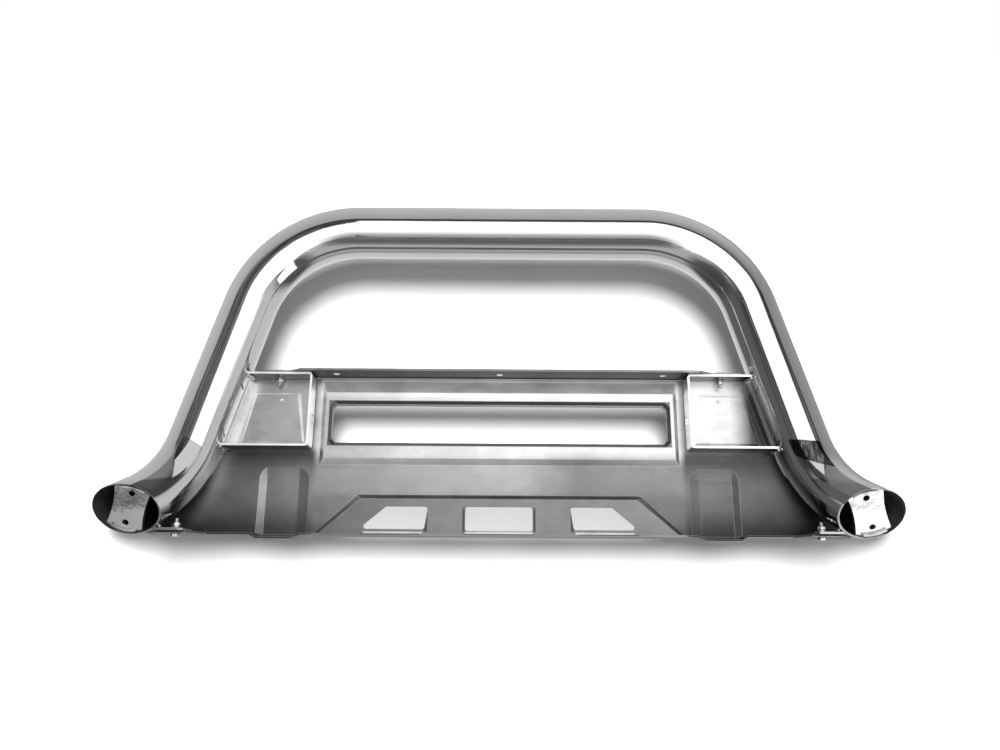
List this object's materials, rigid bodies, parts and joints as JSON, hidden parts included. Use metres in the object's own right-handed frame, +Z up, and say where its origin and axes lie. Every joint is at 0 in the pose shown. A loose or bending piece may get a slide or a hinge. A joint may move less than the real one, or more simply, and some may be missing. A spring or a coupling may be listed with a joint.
{
  "type": "front grille guard",
  "caption": "Bent tube hoop guard for the front of a pickup, with a formed skid plate, light bar window, side brackets and closed tapped tube ends.",
  "frame": {"origin": "bottom centre of the whole guard: on the plane of symmetry, level with the lowest point of the skid plate, 22 mm behind the centre plane of the hoop", "axes": "+X across the vehicle, +Y forwards away from the radiator, +Z up"},
  "size_m": [1.0597, 0.1206, 0.4945],
  "materials": {
    "polished_tube": "mirror-polished stainless steel",
    "plate": "satin stainless sheet with handling smudges",
    "bracket": "satin stainless sheet, bright sheared edges",
    "weld": "rippled weld bead",
    "fastener": "bright machine-finished stainless fasteners"
  },
  "bodies": {
    "root": {"hoop_tube": "polished_tube", "left_bracket_welds": "weld", "left_end_plate": "bracket", "left_end_welds": "weld", "left_lower_tab": "bracket", "left_tab_weld": "weld", "left_upper_bracket": "bracket", "lower_bolts": "fastener", "lower_lock_washers": "fastener", "lower_nuts": "fastener", "lower_washers": "fastener", "right_bracket_welds": "weld", "right_end_plate": "bracket", "right_end_welds": "weld", "right_lower_tab": "bracket", "right_tab_weld": "weld", "right_upper_bracket": "bracket", "skid_plate": "plate", "upper_bolts": "fastener", "upper_lock_washers": "fastener", "upper_nuts": "fastener", "upper_washers": "fastener"}
  },
  "joints": []
}
